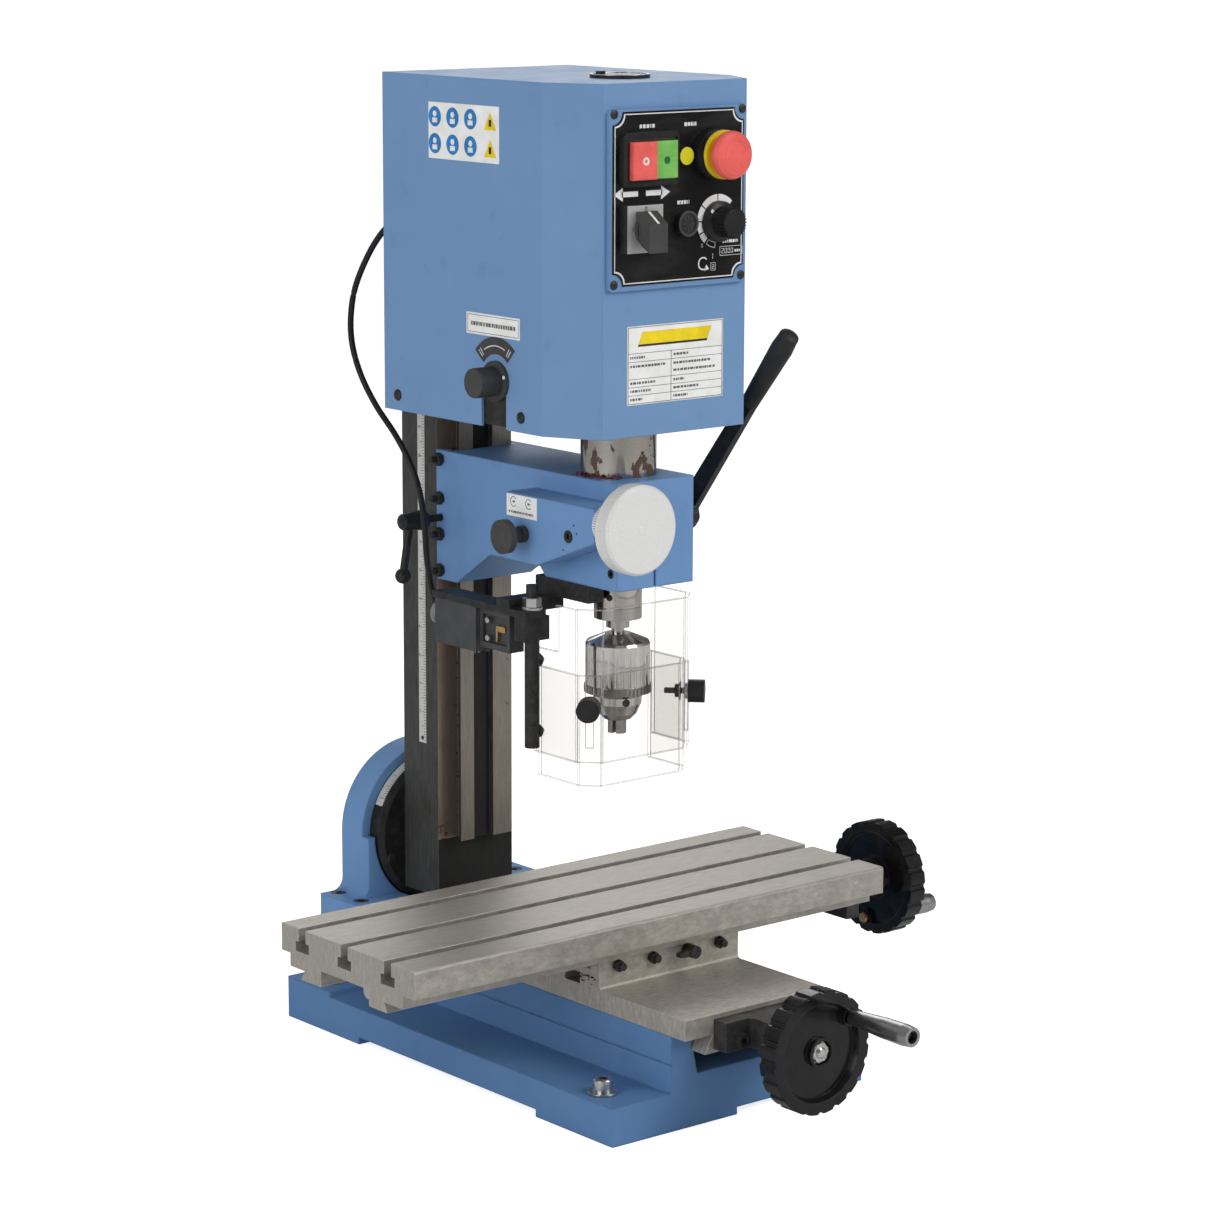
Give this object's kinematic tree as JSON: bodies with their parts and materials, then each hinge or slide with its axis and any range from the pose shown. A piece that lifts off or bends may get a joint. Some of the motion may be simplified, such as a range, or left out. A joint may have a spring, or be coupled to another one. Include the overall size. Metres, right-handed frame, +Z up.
{
  "type": "benchtop milling machine",
  "caption": "Benchtop mill-drill: blue dovetail base, tilting column, geared head with drill chuck and clear chip guard, T-slot table moved by two handwheels.",
  "frame": {"origin": "on the bench plane directly below the spindle axis, column upright and saddle and table where the picture shows them", "axes": "+Z up along the spindle, -Y toward the operator, +X toward the operator's right, along the table"},
  "size_m": [0.5244, 0.51, 0.6679],
  "materials": {
    "cast_iron_blue": "semi-gloss",
    "ground_iron": "satin",
    "black_steel": "satin",
    "bright_steel": "satin",
    "chrome": "polished",
    "black_plastic": "matte",
    "red_plastic": "gloss",
    "green_plastic": "gloss",
    "grey_plastic": "matte",
    "clear_acrylic": "gloss",
    "bronze": "satin",
    "motor_black": "satin"
  },
  "bodies": {
    "base": {"base_casting": "cast_iron_blue", "column_bracket": "cast_iron_blue", "base_screws": "black_steel", "y_nut": "bronze", "y_gib": "ground_iron"},
    "saddle": {"saddle": "ground_iron", "x_gib": "ground_iron", "saddle_screws": "black_steel", "x_nut": "bronze", "screw_bracket": "black_steel"},
    "saddle_lock": {"saddle_lock_lever": "bright_steel"},
    "y_screw": {"y_leadscrew": "bright_steel", "y_handwheel": "black_plastic"},
    "y_grip": {"y_handle": "chrome"},
    "table": {"table": "ground_iron", "x_end_plate": "black_steel", "end_plate_screws": "black_steel"},
    "x_screw": {"x_leadscrew": "bright_steel", "x_handwheel": "black_plastic"},
    "x_grip": {"x_handle": "chrome"},
    "column": {"column": "black_steel", "tilt_disc": "bright_steel", "tilt_nut": "bright_steel"},
    "head": {"head_casting": "cast_iron_blue", "z_gib": "ground_iron", "casting_screws": "black_steel", "guard_bracket": "black_steel", "switch_box": "grey_plastic"},
    "head_clamp": {"clamp_lever": "bright_steel"},
    "feed": {"feed_shaft": "bright_steel", "feed_lever": "bright_steel", "lever_grip": "black_plastic"},
    "clutch": {"clutch_knob": "black_plastic"},
    "fine_feed": {"fine_feed_dial": "bright_steel"},
    "worm_gear": {"worm_wheel": "bronze"},
    "quill": {"quill": "bright_steel", "head_cover": "cast_iron_blue", "gearbox_plates": "bright_steel", "motor": "motor_black", "control_panel": "cast_iron_blue", "panel_fittings": "black_plastic"},
    "spindle": {"spindle": "bright_steel", "drawbar": "bright_steel", "spindle_gear": "bright_steel", "chuck_arbor": "bright_steel", "chuck_body": "chrome", "chuck_jaws": "chrome"},
    "idler": {"idler_gear": "bright_steel"},
    "motor_shaft": {"motor_pinion": "bright_steel"},
    "cap": {"top_cap": "black_plastic"},
    "range_selector": {"range_knob": "black_plastic"},
    "direction_switch": {"direction_knob": "black_plastic"},
    "speed_control": {"speed_knob": "black_plastic"},
    "stop_mushroom": {"emergency_stop": "red_plastic"},
    "off_button": {"red_button": "red_plastic"},
    "on_button": {"green_button": "green_plastic"},
    "guard": {"guard_rod": "bright_steel", "guard_upper": "clear_acrylic"},
    "guard_sleeve": {"guard_lower": "clear_acrylic", "guard_knobs": "black_plastic"}
  },
  "joints": [
    {"name": "saddle_feed", "type": "slide", "parent": "base", "child": "saddle", "axis": [0, 1, 0], "range_m": [-0.09, 0.055]},
    {"name": "y_screw_turn", "type": "hinge", "parent": "saddle", "child": "y_screw", "pos_m": [0, -0.19, 0.06], "axis": [0, 1, 0], "range_deg": [-16200, 9900]},
    {"name": "y_handle_spin", "type": "hinge", "parent": "y_screw", "child": "y_grip", "pos_m": [0.02589, -0.23, 0.07881], "axis": [0, 1, 0], "continuous": true},
    {"name": "saddle_lock_turn", "type": "hinge", "parent": "saddle", "child": "saddle_lock", "pos_m": [0.014, -0.06, 0.092], "axis": [0, -1, 0], "range_deg": [0, 80]},
    {"name": "table_feed", "type": "slide", "parent": "saddle", "child": "table", "axis": [1, 0, 0], "range_m": [-0.0886, 0.1314]},
    {"name": "x_screw_turn", "type": "hinge", "parent": "table", "child": "x_screw", "pos_m": [0.22, 0.0013, 0.091], "axis": [1, 0, 0], "range_deg": [-15948, 23652]},
    {"name": "x_handle_spin", "type": "hinge", "parent": "x_screw", "child": "x_grip", "pos_m": [0.27, 0.00861, 0.05985], "axis": [1, 0, 0], "continuous": true},
    {"name": "column_tilt", "type": "hinge", "parent": "base", "child": "column", "pos_m": [0, 0.2, 0.1275], "axis": [0, 1, 0], "range_deg": [-45, 45]},
    {"name": "head_slide", "type": "slide", "parent": "column", "child": "head", "axis": [0, 0, 1], "range_m": [-0.048, 0.08]},
    {"name": "head_clamp_turn", "type": "hinge", "parent": "head", "child": "head_clamp", "pos_m": [-0.055, 0.151, 0.36], "axis": [-1, 0, 0], "range_deg": [-30, 60]},
    {"name": "feed_lever_turn", "type": "hinge", "parent": "head", "child": "feed", "pos_m": [0.05, 0.028, 0.368], "axis": [1, 0, 0], "range_deg": [0, 143.24]},
    {"name": "quill_feed", "type": "slide", "parent": "head", "child": "quill", "axis": [0, 0, -1], "range_m": [0, 0.03]},
    {"name": "clutch_slide", "type": "slide", "parent": "head", "child": "clutch", "axis": [-1, 0, 0], "range_m": [0, 0.006]},
    {"name": "fine_feed_turn", "type": "hinge", "parent": "head", "child": "fine_feed", "pos_m": [-0.0465, -0.06, 0.3835], "axis": [0, -1, 0], "continuous": true},
    {"name": "worm_gear_turn", "type": "hinge", "parent": "head", "child": "worm_gear", "pos_m": [-0.046, 0.028, 0.368], "axis": [1, 0, 0], "continuous": true},
    {"name": "spindle_turn", "type": "hinge", "parent": "quill", "child": "spindle", "pos_m": [0, 0, 0.4], "axis": [0, 0, 1], "continuous": true},
    {"name": "idler_turn", "type": "hinge", "parent": "quill", "child": "idler", "pos_m": [-0.028, 0.05307, 0.48], "axis": [0, 0, 1], "continuous": true},
    {"name": "motor_turn", "type": "hinge", "parent": "quill", "child": "motor_shaft", "pos_m": [0.013, 0.07161, 0.5], "axis": [0, 0, 1], "continuous": true},
    {"name": "cap_swing", "type": "hinge", "parent": "quill", "child": "cap", "pos_m": [-0.0096, 0.0079, 0.664], "axis": [0, 0, 1], "range_deg": [0, 120]},
    {"name": "range_turn", "type": "hinge", "parent": "quill", "child": "range_selector", "pos_m": [-0.08, 0.0285, 0.4705], "axis": [-1, 0, 0], "range_deg": [0, 70]},
    {"name": "direction_turn", "type": "hinge", "parent": "quill", "child": "direction_switch", "pos_m": [-0.0341, -0.07, 0.573], "axis": [0, 1, 0], "range_deg": [-60, 60]},
    {"name": "speed_turn", "type": "hinge", "parent": "quill", "child": "speed_control", "pos_m": [0.0327, -0.07, 0.5738], "axis": [0, 1, 0], "range_deg": [0, 270]},
    {"name": "stop_press", "type": "slide", "parent": "quill", "child": "stop_mushroom", "axis": [0, 1, 0], "range_m": [0, 0.003]},
    {"name": "off_press", "type": "slide", "parent": "quill", "child": "off_button", "axis": [0, 1, 0], "range_m": [0, 0.003]},
    {"name": "on_press", "type": "slide", "parent": "quill", "child": "on_button", "axis": [0, 1, 0], "range_m": [0, 0.003]},
    {"name": "guard_swing", "type": "hinge", "parent": "head", "child": "guard", "pos_m": [-0.055, 0.022, 0.26], "axis": [0, 0, -1], "range_deg": [0, 100]},
    {"name": "guard_height", "type": "slide", "parent": "guard", "child": "guard_sleeve", "axis": [0, 0, -1], "range_m": [-0.0175, 0.0245]}
  ],
  "couplings": [
    {"joint": "y_screw_turn", "follows": "saddle_feed", "rad_per_m": 3141.6},
    {"joint": "x_screw_turn", "follows": "table_feed", "rad_per_m": 3141.6},
    {"joint": "feed_lever_turn", "follows": "quill_feed", "rad_per_m": 83.333},
    {"joint": "worm_gear_turn", "follows": "fine_feed_turn", "ratio": 0.026316},
    {"joint": "idler_turn", "follows": "spindle_turn", "ratio": -2.3333},
    {"joint": "motor_turn", "follows": "spindle_turn", "ratio": 6.4167}
  ]
}
